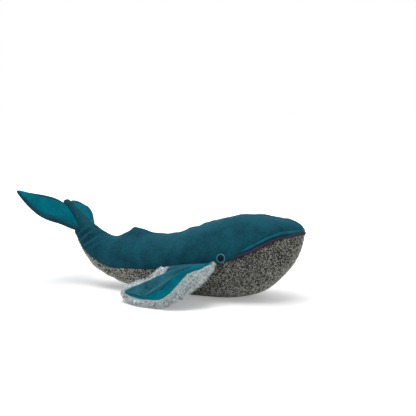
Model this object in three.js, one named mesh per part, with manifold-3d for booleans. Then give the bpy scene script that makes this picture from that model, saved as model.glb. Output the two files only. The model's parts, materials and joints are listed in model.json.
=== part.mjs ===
// A plush whale that lies on its belly with its tail curled up.
// Its body is a stuffed bag of three fabric panels: two velvet sides that meet along the spine, with the
// small dorsal fin in that seam, and one looped-wool belly that reaches from the lip to the tail. A velvet
// lip roll and a thin piping run round the mouth from eye to eye. Two pectoral fins flap at their sewn roots,
// the tail end bends at a seam across the tail stock, and two flukes fold along the sides of the tail end.
// Millimetres. +X is forwards, to the nose, +Y is the whale's left and +Z is up, with the floor at Z = 0.
// The tail end, the flukes and the fins each have a frame of their own: X forwards, Y left, Z to the back.
import * as THREE from 'three';
import { mergeVertices } from 'three/addons/utils/BufferGeometryUtils.js';
import Module from 'manifold-3d';

const wasm = await Module();
wasm.setup();

// Body
const bodyLength = 494; // nose to the seam where the tail end is sewn on
const bodyHeight = 168; // floor to the top of the head
const bodyWidth = 172; // widest place, just behind the eyes
const skinThickness = 2.6; // velvet or belly cloth with its pile
const gap = 0.3; // between pieces that touch
const floorCut = 0.5; // depth of the flat that the belly rests on
const backFullness = 2.1; // roundness of the sections above and below the seam, where 2 is an ellipse
const bellyFullness = 2.4;

// Sections of the body from the nose to the tail. Each row gives the distance behind the nose as a share of
// bodyLength, the height of the section's middle and its reach above and below that middle as shares of
// bodyHeight, and its half width as a share of bodyWidth.
const sectionShares = [
  [0, 0.83, 0.018, 0.024, 0.012],
  [0.004, 0.829, 0.036, 0.077, 0.052],
  [0.015, 0.824, 0.07, 0.211, 0.128],
  [0.038, 0.808, 0.135, 0.349, 0.221],
  [0.071, 0.783, 0.179, 0.443, 0.302],
  [0.109, 0.738, 0.237, 0.503, 0.366],
  [0.15, 0.673, 0.313, 0.53, 0.413],
  [0.204, 0.588, 0.414, 0.529, 0.459],
  [0.259, 0.512, 0.479, 0.486, 0.488],
  [0.328, 0.465, 0.489, 0.465, 0.5],
  [0.397, 0.44, 0.453, 0.44, 0.494],
  [0.467, 0.405, 0.414, 0.405, 0.477],
  [0.54, 0.369, 0.364, 0.369, 0.448],
  [0.609, 0.348, 0.351, 0.348, 0.413],
  [0.672, 0.342, 0.33, 0.336, 0.378],
  [0.733, 0.342, 0.305, 0.304, 0.34],
  [0.793, 0.354, 0.29, 0.275, 0.299],
  [0.834, 0.367, 0.271, 0.23, 0.273],
  [0.868, 0.39, 0.248, 0.203, 0.25],
  [0.908, 0.457, 0.208, 0.192, 0.215],
  [0.946, 0.527, 0.189, 0.189, 0.174],
  [0.972, 0.62, 0.157, 0.157, 0.14],
  [1, 0.748, 0.104, 0.104, 0.113],
];
// For the same sections, the lean towards the nose as the tail curls up, and the place of the seam between
// velvet and belly, in degrees. The seam is measured down from the spine, so 180 is the middle of the belly.
const sectionAngles = [
  [0, 90], [0, 90], [0, 90], [0, 90], [0, 90], [0, 90], [0, 90], [0, 90], [0, 90], [0, 90], [0, 90], [0, 92],
  [0, 91], [0, 92], [0, 92], [0, 95], [2, 102], [5, 107], [11, 111], [22.5, 119], [34, 152], [46, 178],
  [54.5, 178],
];
const lastSection = sectionShares.length - 1;
const skinEndSection = 21.8; // the skins stop just short of the tail seam, counted from the nose's 0
const bellyEndSection = 20.95; // where the belly has narrowed to a point
const noseSections = 3; // close together at the blunt nose, with a ring of points at each
const ringCount = 23; // rings from there to the tail
const velvetColumnShares = [0, 0.07, 0.16, 0.3, 0.48, 0.66, 0.83, 1];
const bellyColumnShares = [-1, -0.75, -0.5, -0.27, -0.065, 0.065, 0.27, 0.5, 0.75, 1]; // flat in the middle
const stuffingSplitRings = [10, 18]; // where one handful of filling meets the next
const surfaceProbe = { place: 0.02, angle: 1 }; // small steps that give the surface's slope
const searchHalvings = 30; // of a range in which a place or an angle is looked for

// Dorsal fin, a low bump in the spine seam
const dorsalHeight = 20;
const dorsalFrontLength = 33;
const dorsalRearLength = 21.5;
const dorsalHalfAngle = 14; // degrees either side of the spine
const dorsalPlaceShare = 0.743; // its peak, from the nose, as a share of bodyLength

// Lip roll and piping
const pipingThickness = 4;
const pipingStand = 1; // middle of the piping, out from the cloth
const lipRollHeight = 7.5;
const lipRollDepth = 3;
const lipEndSection = 7.9; // just in front of the eyes
const lipSteps = 15;
const lipStepCrowding = 1.5; // above 1 the steps crowd towards the nose, where the lip turns
const cordSides = 6;

// Eyes, embroidered: a ring and a domed pupil
const eyeRingRadius = 8.6; // to the middle of its stitching
const eyeRingTube = 1.2;
const eyePupilRadius = 4.4;
const eyePupilDome = 2;
const eyeSeamGap = 0.4; // from the seam up to the ring
const eyeSection = 8.42;
const eyeSides = 16;
const pupilShares = [[0, -1], [1, -1], [1, 0.35], [0.78, 0.75], [0.42, 0.95], [0, 1]]; // radius, dome

// Cloth and filling in the fins and flukes
const leafFullness = 2.4; // roundness across, where 2 is an ellipse
const leafTipStartShare = 0.6; // of the way from root to tip, where the tip starts to thin out
const leafTipPower = 2.2;
const leafMostInsetShare = 0.45; // of a row, that a layer may lie in from the edge
const leafLeastShares = { cloth: 0.5, filling: 0.125 }; // of a gap, where it is too thin for its layers
const leafPanelSteps = 2; // columns of faces across a panel

// Pectoral fins
const finLength = 188; // along the root's direction, front corner to tip
const finReach = 112; // root to the outermost point
const finThickness = 19;
const finEdgeThickness = 9;
const finHem = 4; // thickness of the sewn root
const finHemLength = 22; // over which the root swells to full thickness
const finArch = 6;
const finSkin = 2.2;
const finFloorGap = 0.3;
const finMostDroop = 60; // degrees
const finRootFrontShare = 0.3; // ends of the root along the body seam, from the nose
const finRootRearShare = 0.53;
// Edges from root to tip: forwards from the middle of the root, as a share of finLength, and outwards from
// it, as a share of finReach.
const finLeadingShares = [
  [0.31, 0], [0.32, 0.2], [0.275, 0.47], [0.19, 0.74], [0.07, 0.93], [-0.09, 1], [-0.28, 0.98], [-0.46, 0.9],
  [-0.6, 0.79], [-0.665, 0.67],
];
const finTrailingShares = [
  [-0.235, 0], [-0.27, 0.09], [-0.315, 0.16], [-0.365, 0.22], [-0.42, 0.28], [-0.48, 0.33], [-0.545, 0.385],
  [-0.61, 0.445], [-0.66, 0.52], [-0.675, 0.6],
];
// Where the fabrics on top meet, row by row, as shares of the way from the trailing to the leading edge:
// fur to velvet, velvet to suede band, suede band to fur.
const finSeamShares = [
  [0.04, 0.86, 0.95], [0.08, 0.6, 0.73], [0.12, 0.5, 0.65], [0.12, 0.54, 0.7], [0.12, 0.61, 0.79],
  [0.12, 0.66, 0.83], [0.12, 0.71, 0.81], [0.14, 0.66, 0.72], [0.2, 0.5, 0.56], [0.3, 0.5, 0.55],
];
const finLastTopRow = 8; // fur closes over the top beyond this row

// Tail end, the velvet wedge between the flukes, with a round base that turns in the tail stock
const tailEndLength = 62;
const tailEndTipHalfWidth = 9;
const tailEndTipHalfHeight = 7.5;
const tailEndLean = 55; // degrees above the horizontal
const tailEndTurn = 5; // degrees towards the whale's left
const tailTaperPower = 0.85;
const tailTipRings = 6;
const tailTipRounding = 5; // length over which the tip rounds off
const tailTipEndShare = 0.55; // size of its blunt end
const tailBaseTurns = [78, 55, 32, 12]; // degrees round the base
const tailEndSides = 14;

// Flukes
const flukeSpan = 121; // middle of the tail to one tip
const flukeSweep = 108; // base of the tail end to the level of the tips
const flukeThickness = 15;
const flukeEdgeThickness = 4.4;
const flukeHem = 3.6;
const flukeHemLength = 16;
const flukeSkin = 1.7;
const flukeRootLow = 4; // ends of the root, along the tail end
const flukeRootHigh = 48;
const flukeFold = { right: 15, left: 20 }; // degrees that each fluke hangs back
const flukeTipCurl = { right: 8, left: 16 }; // degrees that its soft tip curls back beyond that
const flukeTipSink = { right: 0, left: 33 }; // distance that the tip sinks towards the body
const flukeCurlStartShare = 0.35; // of the way from root to tip
// Edges from root to tip: sideways from the middle of the tail, as a share of flukeSpan, and along the tail
// end from its base, as a share of flukeSweep.
const flukeLeadingShares = [
  [0.33, 0.02], [0.52, 0.12], [0.7, 0.225], [0.82, 0.36], [0.895, 0.53], [0.94, 0.71], [0.97, 0.87],
  [1, 0.98],
];
const flukeTrailingShares = [
  [0.2, 0.57], [0.32, 0.66], [0.45, 0.735], [0.58, 0.795], [0.7, 0.845], [0.81, 0.9], [0.9, 0.96], [0.96, 1],
];
const flukeSeamShares = [0.03, 0.91]; // velvet turns over the trailing and leading edges this far
const flukeLastTopRow = 7;

const velvetMaterial = new THREE.MeshStandardMaterial({ color: 0x1d5668, roughness: 0.9, metalness: 0 });
const suedeMaterial = new THREE.MeshStandardMaterial({ color: 0x0a7080, roughness: 0.85, metalness: 0 });
const bellyMaterial = new THREE.MeshStandardMaterial({ color: 0x6d6c66, roughness: 1, metalness: 0 });
const furMaterial = new THREE.MeshStandardMaterial({ color: 0x9fb2b6, roughness: 1, metalness: 0 });
const pipingMaterial = new THREE.MeshStandardMaterial({ color: 0x4a3648, roughness: 0.8, metalness: 0 });
const threadMaterial = new THREE.MeshStandardMaterial({ color: 0x4a93a2, roughness: 0.7, metalness: 0 });
const pupilMaterial = new THREE.MeshStandardMaterial({ color: 0x2a1b20, roughness: 0.5, metalness: 0 });
const fillingMaterial = new THREE.MeshStandardMaterial({ color: 0xf2f0ea, roughness: 1, metalness: 0 });

const { degToRad, radToDeg, lerp, clamp } = THREE.MathUtils;
const sideSigns = { right: -1, left: 1 };
const sideNames = Object.keys(sideSigns);
const upwards = new THREE.Vector3(0, 0, 1);

// Numbers and curves

// A smooth curve through evenly counted rows of numbers.
function smooth(rows, place) {
  const row = clamp(Math.floor(place), 0, rows.length - 2);
  const t = place - row;
  const [a, b, c, d] = [-1, 0, 1, 2].map((step) => rows[clamp(row + step, 0, rows.length - 1)]);
  return b.map((value, k) => {
    const slope = c[k] - a[k];
    const bend = 2 * a[k] - 5 * value + 4 * c[k] - d[k];
    const twist = 3 * (value - c[k]) + d[k] - a[k];
    return value + (t * (slope + t * (bend + t * twist))) / 2;
  });
}

// Straight lines through the same rows, for what must not overshoot.
function straight(rows, place) {
  const row = clamp(Math.floor(place), 0, rows.length - 2);
  return rows[row].map((value, k) => lerp(value, rows[row + 1][k], place - row));
}

function steps(from, to, count) {
  return Array.from({ length: count + 1 }, (_, i) => lerp(from, to, i / count));
}

// One coordinate of a rounded section: a plain ellipse where the fullness is 2.
function rounded(value, fullness) {
  return Math.sign(value) * Math.abs(value) ** (2 / fullness);
}

// The value between two limits where a rising test first turns true.
function whereTrue(low, high, test) {
  let [under, over] = [low, high];
  for (let halvings = 0; halvings < searchHalvings; halvings += 1) {
    const middle = (under + over) / 2;
    if (test(middle)) over = middle;
    else under = middle;
  }
  return over;
}

// Solids from grids and rings of points

function solidFrom(points, faces) {
  const across = new THREE.Vector3();
  const cone = ([a, b, c]) => points[a].dot(across.crossVectors(points[b], points[c]));
  const outwards = faces.reduce((sum, face) => sum + cone(face), 0) > 0;
  const geometry = new THREE.BufferGeometry();
  geometry.setAttribute('position', new THREE.Float32BufferAttribute(points.flatMap((p) => p.toArray()), 3));
  geometry.setIndex(faces.flatMap(([a, b, c]) => (outwards ? [a, b, c] : [a, c, b])));
  return geometry;
}

function quad(a, b, c, d) {
  return [[a, b, c], [a, c, d]];
}

// A sheet of cloth: a closed slab between two grids of points with the same rows and columns.
function slab(outer, inner) {
  const rows = outer.length - 1;
  const columns = outer[0].length - 1;
  const top = (i, j) => i * (columns + 1) + j;
  const under = (i, j) => (rows + 1) * (columns + 1) + top(i, j);
  const faces = [];
  for (let i = 0; i < rows; i += 1) {
    for (let j = 0; j < columns; j += 1) {
      faces.push(...quad(top(i, j), top(i + 1, j), top(i + 1, j + 1), top(i, j + 1)));
      faces.push(...quad(under(i, j), under(i, j + 1), under(i + 1, j + 1), under(i + 1, j)));
    }
    faces.push(...quad(top(i, 0), under(i, 0), under(i + 1, 0), top(i + 1, 0)));
    faces.push(...quad(top(i, columns), top(i + 1, columns), under(i + 1, columns), under(i, columns)));
  }
  for (let j = 0; j < columns; j += 1) {
    faces.push(...quad(top(0, j), top(0, j + 1), under(0, j + 1), under(0, j)));
    faces.push(...quad(top(rows, j), under(rows, j), under(rows, j + 1), top(rows, j + 1)));
  }
  return solidFrom([...outer.flat(), ...inner.flat()], faces);
}

function ringFaces(from, to, count) {
  return Array.from({ length: count }, (_, j) => {
    const next = (j + 1) % count;
    return quad(from + j, to + j, to + next, from + next);
  }).flat();
}

// A solid through closed rings of points, with a flat cap at each end.
function loft(rings) {
  const count = rings[0].length;
  const points = rings.flat();
  const faces = [];
  for (let i = 0; i < rings.length - 1; i += 1) faces.push(...ringFaces(i * count, (i + 1) * count, count));
  [0, rings.length - 1].forEach((i) => {
    const centre = rings[i].reduce((sum, p) => sum.add(p), new THREE.Vector3()).divideScalar(count);
    for (let j = 0; j < count; j += 1) {
      const edge = [i * count + j, i * count + ((j + 1) % count)];
      faces.push([points.length, ...(i ? edge.reverse() : edge)]);
    }
    points.push(centre);
  });
  return solidFrom(points, faces);
}

// A sleeve between outer and inner rings, open at both ends.
function sleeve(outer, inner) {
  const count = outer[0].length;
  const last = (outer.length - 1) * count;
  const innerStart = last + count;
  const faces = [...ringFaces(innerStart, 0, count), ...ringFaces(last, innerStart + last, count)];
  for (let i = 0; i < last; i += count) {
    faces.push(...ringFaces(i, i + count, count));
    faces.push(...ringFaces(innerStart + i + count, innerStart + i, count));
  }
  return solidFrom([...outer.flat(), ...inner.flat()], faces);
}

function toManifold(geometry) {
  const bare = geometry.clone();
  bare.deleteAttribute('normal');
  bare.deleteAttribute('uv');
  const merged = mergeVertices(bare);
  return new wasm.Manifold(new wasm.Mesh({
    numProp: 3,
    vertProperties: new Float32Array(merged.attributes.position.array),
    triVerts: new Uint32Array(merged.index.array),
  }));
}

function cut(geometry, cutter) {
  const mesh = toManifold(geometry).subtract(cutter).getMesh();
  const made = new THREE.BufferGeometry();
  made.setAttribute('position', new THREE.Float32BufferAttribute(mesh.vertProperties, mesh.numProp));
  made.setIndex(new THREE.BufferAttribute(mesh.triVerts, 1));
  return made;
}

function piece(name, geometry, material) {
  const mesh = new THREE.Mesh(geometry, material);
  mesh.name = name;
  return mesh;
}

// A group at a place, with its X axis forwards and its Z axis towards the whale's back.
function frame(origin, forwards, back) {
  const group = new THREE.Group();
  const left = new THREE.Vector3().crossVectors(back, forwards);
  group.position.copy(origin);
  group.quaternion.setFromRotationMatrix(new THREE.Matrix4().makeBasis(forwards, left, back));
  return group;
}

// The body's surface

function section(place) {
  const [behind, height, up, down, half] = smooth(sectionShares, place);
  const lean = degToRad(smooth(sectionAngles, place)[0]);
  return {
    middle: new THREE.Vector3(-behind * bodyLength, 0, height * bodyHeight),
    rise: new THREE.Vector3(Math.sin(lean), 0, Math.cos(lean)),
    up: up * bodyHeight,
    down: down * bodyHeight,
    half: half * bodyWidth,
  };
}

function dorsalBump(behind, angle) {
  const ahead = dorsalPlaceShare * bodyLength - behind;
  const along = ahead / (ahead > 0 ? dorsalFrontLength : dorsalRearLength);
  const across = angle / dorsalHalfAngle;
  return dorsalHeight * Math.exp(-along * along - across * across);
}

// A point on the body's outside. The angle runs from the spine (0) down the right side to the middle of the
// belly (180), and up the left side to the spine again (360).
function outerPoint(place, angle) {
  const { middle, rise, up, down, half } = section(place);
  const turn = degToRad(angle);
  const upper = Math.cos(turn) > 0;
  const fullness = upper ? backFullness : bellyFullness;
  const fromSpine = Math.min(Math.abs(angle), Math.abs(360 - angle));
  const bump = upper ? dorsalBump(-middle.x, fromSpine) : 0;
  const reach = upper ? up : down;
  const point = middle.clone().addScaledVector(rise, reach * rounded(Math.cos(turn), fullness) + bump);
  point.y = -half * rounded(Math.sin(turn), fullness);
  point.z = Math.max(point.z - floorCut, 0);
  return point;
}

function outwardsAt(place, angle) {
  const ahead = outerPoint(Math.max(place - surfaceProbe.place, 0), angle);
  const behind = outerPoint(Math.min(place + surfaceProbe.place, lastSection), angle);
  const before = outerPoint(place, angle - surfaceProbe.angle);
  const after = outerPoint(place, angle + surfaceProbe.angle);
  return new THREE.Vector3().crossVectors(behind.sub(ahead), after.sub(before)).normalize();
}

// A point at a depth under the body's outside.
function bodyPoint(place, angle, depth) {
  return outerPoint(place, angle).addScaledVector(outwardsAt(place, angle), -depth);
}

function seamAngle(place) {
  return straight(sectionAngles, place)[1];
}

// Half a gap on the section's outline, in degrees.
function halfGapAngle(place) {
  return radToDeg(gap / 2 / section(place).half);
}

function onSide(side, angle) {
  return sideSigns[side] < 0 ? angle : 360 - angle;
}

// The place in the section table at a distance behind the nose.
function placeBehind(distance) {
  return whereTrue(0, lastSection, (place) => -section(place).middle.x > distance);
}

const bodyPlaces = [
  ...steps(0, noseSections, noseSections).slice(0, -1),
  ...steps(noseSections, skinEndSection, ringCount),
  bellyEndSection,
].sort((a, b) => a - b);

function bodyRing(place, depth) {
  const seam = seamAngle(place);
  const right = velvetColumnShares.map((share) => share * seam);
  const belly = bellyColumnShares.slice(1, -1).map((share) => 180 + share * (180 - seam));
  const left = right.slice(1).reverse().map((angle) => 360 - angle);
  return [...right, ...belly, ...left].map((angle) => bodyPoint(place, angle, depth));
}

// The tail seam, where the tail end's round base sits in the end of the tail stock

const tailSeam = section(lastSection);
const tailBaseRadius = (tailSeam.up + tailSeam.down) / 2;

function tailEndFrame() {
  const lean = degToRad(tailEndLean);
  const forwards = new THREE.Vector3(Math.cos(lean), 0, -Math.sin(lean));
  const back = new THREE.Vector3(Math.sin(lean), 0, Math.cos(lean));
  const group = frame(tailSeam.middle, forwards, back);
  group.position.z -= floorCut;
  group.rotateZ(-degToRad(tailEndTurn));
  group.updateMatrix();
  return group;
}

// The hollow in the end of the tail stock.
function tailSocket() {
  const hollow = new THREE.SphereGeometry(1, 2 * tailEndSides, tailEndSides);
  hollow.scale(tailBaseRadius + gap, tailSeam.half + gap, tailBaseRadius + gap);
  return toManifold(hollow.applyMatrix4(tailEndFrame().matrix));
}

// Body panels and filling

function velvetSide(side, socket) {
  const grid = (depth) => bodyPlaces.map((place) => {
    const slit = halfGapAngle(place);
    const edge = place > bellyEndSection ? 180 : seamAngle(place);
    const down = velvetColumnShares.map((share) => {
      const angle = clamp(share * edge, slit, edge - slit);
      return bodyPoint(place, onSide(side, angle), depth);
    });
    return sideSigns[side] < 0 ? down : down.reverse();
  });
  return piece(`velvet_side_${side}`, cut(slab(grid(0), grid(skinThickness)), socket), velvetMaterial);
}

function bellyPanel() {
  const places = bodyPlaces.filter((place) => place <= bellyEndSection);
  const grid = (depth) => places.map((place) => {
    const half = 180 - seamAngle(place) - halfGapAngle(place);
    return bellyColumnShares.map((share) => bodyPoint(place, 180 + share * half, depth));
  });
  return piece('belly_panel', slab(grid(0), grid(skinThickness)), bellyMaterial);
}

function bodyStuffing(socket) {
  const bounds = [1, ...stuffingSplitRings, bodyPlaces.length - 1];
  return ['head_stuffing', 'middle_stuffing', 'rear_stuffing'].map((name, i) => {
    const places = bodyPlaces.slice(bounds[i], bounds[i + 1] + 1);
    const length = section(places[0]).middle.distanceTo(section(places[1]).middle);
    places[0] += i ? ((places[1] - places[0]) * gap) / length : 0;
    const rings = places.map((place) => bodyRing(place, skinThickness + gap));
    return piece(name, cut(loft(rings), socket), fillingMaterial);
  });
}

// Lip piping and lip roll

// A line round the mouth from the right side to the left, outside the seam and above it.
function lipLine(stand, above) {
  const places = steps(1, 0, lipSteps).map((share) => lipEndSection * share ** lipStepCrowding);
  const right = places.map((place) => (
    bodyPoint(place, seamAngle(place), -stand).addScaledVector(upwards, above)));
  const left = right.map((point) => new THREE.Vector3(point.x, -point.y, point.z)).reverse();
  return [...right, ...left];
}

// A cord of elliptical section, upright all the way.
function cord(line, width, height) {
  return loft(line.map((point, i) => {
    const before = line[Math.max(i - 1, 0)];
    const after = line[Math.min(i + 1, line.length - 1)];
    const forwards = after.clone().sub(before).normalize();
    const level = new THREE.Vector3().crossVectors(forwards, upwards).normalize();
    const upright = new THREE.Vector3().crossVectors(level, forwards);
    return Array.from({ length: cordSides }, (_, j) => {
      const turn = (2 * Math.PI * j) / cordSides;
      const out = (width / 2) * Math.cos(turn);
      const up = (height / 2) * Math.sin(turn);
      return point.clone().addScaledVector(level, out).addScaledVector(upright, up);
    });
  }));
}

function lipPiping(bodyWithGap) {
  const geometry = cord(lipLine(pipingStand, 0), pipingThickness, pipingThickness);
  return piece('lip_piping', cut(geometry, bodyWithGap), pipingMaterial);
}

function lipRoll(bodyWithGap) {
  const above = pipingThickness / 2 + gap + lipRollHeight / 2;
  const geometry = cord(lipLine(0, above), 2 * lipRollDepth, lipRollHeight);
  return piece('lip_roll', cut(geometry, bodyWithGap), velvetMaterial);
}

// Eyes

function eyeFrame(side) {
  const rise = eyeSeamGap + eyeRingTube + eyeRingRadius;
  const angle = seamAngle(eyeSection) - radToDeg(rise / section(eyeSection).up);
  const centre = bodyPoint(eyeSection, onSide(side, angle), 0);
  const outwards = outwardsAt(eyeSection, onSide(side, angle));
  const ahead = bodyPoint(eyeSection - surfaceProbe.place, onSide(side, angle), 0).sub(centre).normalize();
  const group = frame(centre, ahead, outwards);
  group.updateMatrix();
  return group;
}

function eye(side, bodyWithGap) {
  const { matrix } = eyeFrame(side);
  const ring = new THREE.TorusGeometry(eyeRingRadius, eyeRingTube, cordSides, eyeSides);
  const profile = pupilShares.map(([r, z]) => new THREE.Vector2(r * eyePupilRadius, z * eyePupilDome));
  const dome = new THREE.LatheGeometry(profile, eyeSides);
  dome.rotateX(Math.PI / 2);
  return [
    piece(`eye_ring_${side}`, cut(ring.applyMatrix4(matrix), bodyWithGap), threadMaterial),
    piece(`eye_pupil_${side}`, cut(dome.applyMatrix4(matrix), bodyWithGap), pupilMaterial),
  ];
}

// Leaves: the fins and flukes. Each is a cloth that covers the underside and turns over the edges, one or
// more panels on top, and filling between them. Rows run from the root (0) to the tip, and shares across a
// row from the trailing edge (0) to the leading edge (1). The root is sewn flat and has a round edge.

const rootRows = [-0.8, -0.4]; // the round edge, in quarter turns before row 0

function wholeRows(first, last) {
  return Array.from({ length: last - first + 1 }, (_, i) => first + i);
}

// Half the thickness of a leaf at a point: flat at the root, full in the middle, thin at the edges and tip.
function leafHalf(leaf, row, share, outward) {
  if (row < 0) return (leaf.hem / 2) * Math.cos((-row * Math.PI) / 2);
  const across = 1 - Math.abs(2 * share - 1) ** leafFullness;
  const tipward = (row / (leaf.leading.length - 1) - leafTipStartShare) / (1 - leafTipStartShare);
  const tip = 1 - clamp(tipward, 0, 1) ** leafTipPower;
  const swollen = lerp(leaf.edge, leaf.middle, Math.sqrt(across * tip)) / 2;
  const swell = Math.sin((clamp(outward / leaf.hemLength, 0, 1) * Math.PI) / 2);
  return lerp(leaf.hem / 2, swollen, swell);
}

// A point at a depth under the leaf's top (level 1) or underside (level -1).
function leafPoint(leaf, row, share, level, depth) {
  const [rearX, rearY] = smooth(leaf.trailing, Math.max(row, 0));
  const [frontX, frontY] = smooth(leaf.leading, Math.max(row, 0));
  const inset = clamp(depth / Math.hypot(frontX - rearX, frontY - rearY), 0, leafMostInsetShare);
  const inside = lerp(inset, 1 - inset, share);
  const outward = lerp(rearY, frontY, inside);
  const least = gap * leafLeastShares[depth > leaf.skin ? 'filling' : 'cloth'];
  const half = leafHalf(leaf, row, inside, outward);
  const height = depth ? Math.max(half - depth, least) : half;
  const rootEdge = row < 0 ? (leaf.hem / 2) * Math.sin((-row * Math.PI) / 2) : 0;
  const { reach, rise, turn, slide } = leaf.bend(outward - rootEdge);
  const y = sideSigns[leaf.side] * (reach + level * height * Math.sin(turn));
  return new THREE.Vector3(lerp(rearX, frontX, inside) + slide, y, rise + level * height * Math.cos(turn));
}

// Half a gap across a row, as a share.
function halfSlit(leaf, row) {
  const rear = smooth(leaf.trailing, Math.max(row, 0));
  const front = smooth(leaf.leading, Math.max(row, 0));
  return gap / 2 / Math.hypot(front[0] - rear[0], front[1] - rear[1]);
}

function leafSeams(leaf, row) {
  return Array.isArray(leaf.seams[0]) ? straight(leaf.seams, Math.max(row, 0)) : leaf.seams;
}

// Shares across one panel of a row, and across the whole row.
function panelShares(from, to) {
  return steps(from, to, leafPanelSteps);
}

function rowShares(leaf, row) {
  const bounds = [0, ...leafSeams(leaf, row), 1];
  return [0, ...bounds.slice(1).flatMap((bound, i) => panelShares(bounds[i], bound).slice(1))];
}

// The cloth under a leaf, from its seam on top round both edges.
function leafWrap(leaf, material, name) {
  const last = leaf.leading.length - 1;
  const [panelEnd, beyond] = [0, 1].map((more) => leafPoint(leaf, leaf.lastTopRow + more, 0, 1, 0));
  const rowGap = gap / panelEnd.distanceTo(beyond);
  const plain = [...rootRows, ...wholeRows(0, leaf.lastTopRow), leaf.lastTopRow + rowGap];
  const closing = [leaf.lastTopRow + 2 * rowGap, ...wholeRows(leaf.lastTopRow + 1, last)];
  const grid = (depth) => [...plain, ...closing].map((row) => {
    const seams = leafSeams(leaf, row);
    const slit = halfSlit(leaf, row);
    const closed = plain.includes(row) ? null : (seams[0] + seams[seams.length - 1]) / 2;
    const front = (closed ?? seams[seams.length - 1]) + slit;
    const rear = (closed ?? seams[0]) - slit;
    const deep = depth && row === last ? Infinity : depth; // the inside closes up at the tip
    return [
      ...panelShares(front, 1).map((share) => leafPoint(leaf, row, share, 1, deep)),
      ...rowShares(leaf, row).reverse().map((share) => leafPoint(leaf, row, share, -1, deep)),
      ...panelShares(0, rear).map((share) => leafPoint(leaf, row, share, 1, deep)),
    ];
  });
  return piece(name, slab(grid(0), grid(leaf.skin)), material);
}

// One panel on top of a leaf, between two of its seams.
function leafPanel(leaf, index, material, name) {
  const rows = [...rootRows, ...wholeRows(0, leaf.lastTopRow)];
  const grid = (depth) => rows.map((row) => {
    const seams = leafSeams(leaf, row);
    const slit = halfSlit(leaf, row);
    return panelShares(seams[index] + slit, seams[index + 1] - slit).map((share) => (
      leafPoint(leaf, row, share, 1, depth)));
  });
  return piece(name, slab(grid(0), grid(leaf.skin)), material);
}

function leafStuffing(leaf, name) {
  const last = leaf.leading.length - 1;
  const rings = wholeRows(1, last - 1).map((row) => {
    const shares = rowShares(leaf, row);
    const top = shares.map((share) => leafPoint(leaf, row, share, 1, leaf.skin + gap));
    const under = shares.reverse().map((share) => leafPoint(leaf, row, share, -1, leaf.skin + gap));
    return [...top, ...under];
  });
  return piece(name, loft(rings), fillingMaterial);
}

// Pectoral fins

function finLeaf(side) {
  const outline = (shares) => shares.map(([x, y]) => [x * finLength, y * finReach]);
  return {
    side,
    leading: outline(finLeadingShares),
    trailing: outline(finTrailingShares),
    seams: finSeamShares,
    lastTopRow: finLastTopRow,
    hem: finHem,
    hemLength: finHemLength,
    edge: finEdgeThickness,
    middle: finThickness,
    skin: finSkin,
    bend: (outward) => ({
      reach: outward,
      rise: finArch * Math.sin(Math.PI * clamp(outward / finReach, 0, 1)),
      turn: 0,
      slide: 0,
    }),
  };
}

// The fin's frame lies along its root, just clear of the body's bulge there, and droops until the fin's
// underside comes down to the floor.
function finFrame(side, leaf) {
  const [front, rear] = [finRootFrontShare, finRootRearShare].map((share) => placeBehind(share * bodyLength));
  const seamPoint = (place) => bodyPoint(place, onSide(side, seamAngle(place)), 0);
  const forwards = seamPoint(front).sub(seamPoint(rear)).normalize();
  const out = new THREE.Vector3().crossVectors(upwards, forwards).normalize().multiplyScalar(sideSigns[side]);
  const origin = seamPoint(front).add(seamPoint(rear)).divideScalar(2);
  const bulges = steps(front, rear, ringCount).map((place) => seamPoint(place).sub(origin).dot(out));
  origin.addScaledVector(out, Math.max(...bulges) + gap + finHem / 2);
  const level = new THREE.Vector3().crossVectors(forwards, out).multiplyScalar(sideSigns[side]);
  const drooped = (droop) => {
    const group = frame(origin, forwards, level);
    group.rotateX(-sideSigns[side] * degToRad(droop));
    group.updateMatrix();
    return group;
  };
  const last = leaf.leading.length - 1;
  const underside = wholeRows(1, last).flatMap((row) => (
    rowShares(leaf, row).map((share) => leafPoint(leaf, row, share, -1, 0))));
  const lowest = ({ matrix }) => Math.min(...underside.map((point) => point.clone().applyMatrix4(matrix).z));
  return drooped(whereTrue(0, finMostDroop, (droop) => lowest(drooped(droop)) < finFloorGap));
}

function fin(side) {
  const leaf = finLeaf(side);
  const group = finFrame(side, leaf);
  group.name = `fin_${side}`;
  group.add(
    leafPanel(leaf, 0, velvetMaterial, `fin_velvet_${side}`),
    leafPanel(leaf, 1, suedeMaterial, `fin_band_${side}`),
    leafWrap(leaf, furMaterial, `fin_fur_${side}`),
    leafStuffing(leaf, `fin_stuffing_${side}`),
  );
  return group;
}

// Flukes

function flukeLeaf(side, toLocal) {
  const outline = (shares) => shares.map(([out, along]) => toLocal(out * flukeSpan, along * flukeSweep));
  const ends = [flukeRootLow, flukeRootHigh].map((along) => toLocal(tailHalfWidth(along), along)[0]);
  const leading = [[ends[0], 0], ...outline(flukeLeadingShares)];
  const length = Math.max(...leading.map(([, outward]) => outward));
  const curlStart = flukeCurlStartShare * length;
  const curlRadius = (length - curlStart) / degToRad(flukeTipCurl[side]);
  return {
    side,
    leading,
    trailing: [[ends[1], 0], ...outline(flukeTrailingShares)],
    seams: flukeSeamShares,
    lastTopRow: flukeLastTopRow,
    hem: flukeHem,
    hemLength: flukeHemLength,
    edge: flukeEdgeThickness,
    middle: flukeThickness,
    skin: flukeSkin,
    bend: (outward) => {
      const turn = Math.max(outward - curlStart, 0) / curlRadius;
      return {
        reach: Math.min(outward, curlStart) + curlRadius * Math.sin(turn),
        rise: curlRadius * (Math.cos(turn) - 1),
        turn,
        slide: flukeTipSink[side] * (outward / length) ** 2,
      };
    },
  };
}

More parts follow.
